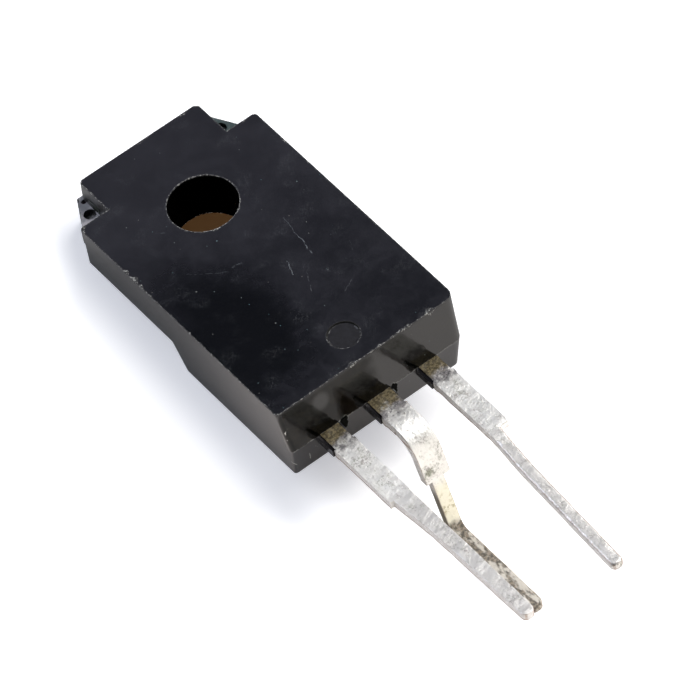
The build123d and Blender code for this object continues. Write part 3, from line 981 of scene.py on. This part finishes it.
# painted reflection light: the floor glows only in reflections, brightly in front and to
# the left, dimmer close to the body and between the leads
in_front = nodes.product(
    nodes.fade(forward, forward_of(-14), forward_of(-19)),
    nodes.fade(beside, -1.6 * MM, 0.2 * MM, 0.35, 1.0),
)
to_front = nodes.fade(forward, forward_of(-2), forward_of(-11), 0.2, 0.8)
on_left = nodes.mix(nodes.fade(beside, -5.2 * MM, -6.6 * MM), 0.02, to_front)

# clear of the body the floor glows white; close beside it, it glows less and bluer, as a
# painted shadow
from_body = nodes.vector("SUBTRACT", spot, tuple(from_package @ Vector((0, -3.7, -3))))
from_body = nodes.vector("ABSOLUTE", from_body)
from_body = nodes.vector("SUBTRACT", from_body, (4.8 * MM, 8.6 * MM, 1.0))
from_body = nodes.vector("MAXIMUM", from_body, (0, 0, 0))
clear = nodes.fade(nodes.length(from_body), 0.0, 2.4 * MM)

path = nodes.add("ShaderNodeLightPath", {}).node.outputs
mirrored = nodes.product(
    nodes.most(path["Is Glossy Ray"], path["Is Transmission Ray"]),
    nodes.mix(in_front, on_left, GLOSSY_FLOOR),
)
looked_at = nodes.mix(clear, SHADED_FLOOR, CAMERA_FLOOR)
seen = nodes.mix(path["Is Camera Ray"], mirrored, looked_at)
# the glow is bluer in the painted shadow near the body
glow = nodes.blend(clear, (0.9, 0.92, 1.0), (0.98, 0.98, 1.0))
# the floor glows warm where it is only mirrored: a painted reflection tint
glow = nodes.blend(path["Is Camera Ray"], (1.0, 0.89, 0.82), glow)
wire_shader(nodes, shader, {
    "Base Color": nodes.blend(open_floor, (0.42, 0.27, 0.14), (0.9, 0.9, 0.9)),
    "Roughness": 0.9, "Specular IOR Level": 0.0,
    "Emission Color": nodes.blend(open_floor, (0.12, 0.06, 0.024), glow),
    "Emission Strength": seen,
})
floor_mesh.materials.append(paper)

world = bpy.data.worlds.new("soft_room")
bpy.context.scene.world = world
world.use_nodes = True
surround = world.node_tree.nodes["Background"]
surround.inputs["Color"].default_value = (0.85, 0.9, 1.0, 1)
surround.inputs["Strength"].default_value = 0.02


def soft_lamp(name, direction, distance, size, watts, colour):
    """A square soft lamp that looks at the part from a direction."""
    data = bpy.data.lights.new(name, "AREA")
    data.size = size
    data.energy = watts
    data.color = colour
    lamp = bpy.data.objects.new(name, data)
    bpy.context.scene.collection.objects.link(lamp)
    away = Vector(direction).normalized()
    lamp.location = (low + high) / 2 + away * distance
    lamp.rotation_euler = away.to_track_quat("Z", "Y").to_euler()


soft_lamp("right_lamp", (0.75, 0.15, 0.75), 0.6, 0.5, 3.7, (1.0, 0.985, 0.965))
soft_lamp("left_lamp", (-0.5, 0.9, 0.6), 0.6, 0.4, 1.9, (0.83, 0.88, 1.0))
soft_lamp("top_lamp", (0.2, 0.5, 1.0), 0.6, 0.4, 0.16, (1.0, 1.0, 1.0))
soft_lamp("front_lamp", (0.35, -1.0, 0.22), 0.6, 0.55, 2.2, (1.0, 0.955, 0.87))

camera_azimuth = radians(-39.69)
camera_elevation = radians(61.25)
camera_roll = radians(-1.74)
camera_distance = 0.2974
look_at = from_package @ Vector((-0.324, -11.38, 0))
back = Vector((
    sin(camera_azimuth) * cos(camera_elevation),
    -cos(camera_azimuth) * cos(camera_elevation),
    sin(camera_elevation),
))
camera_data = bpy.data.cameras.new("camera")
camera_data.sensor_width = 36
camera_data.lens = 346.97
camera_data.clip_start = 0.01
camera = bpy.data.objects.new("camera", camera_data)
bpy.context.scene.collection.objects.link(camera)
camera.location = look_at + back * camera_distance
upright = back.to_track_quat("Z", "Y").to_matrix()
camera.rotation_euler = (upright @ Matrix.Rotation(-camera_roll, 3, "Z")).to_euler()
bpy.context.scene.camera = camera
bpy.context.scene.view_settings.view_transform = "Standard"
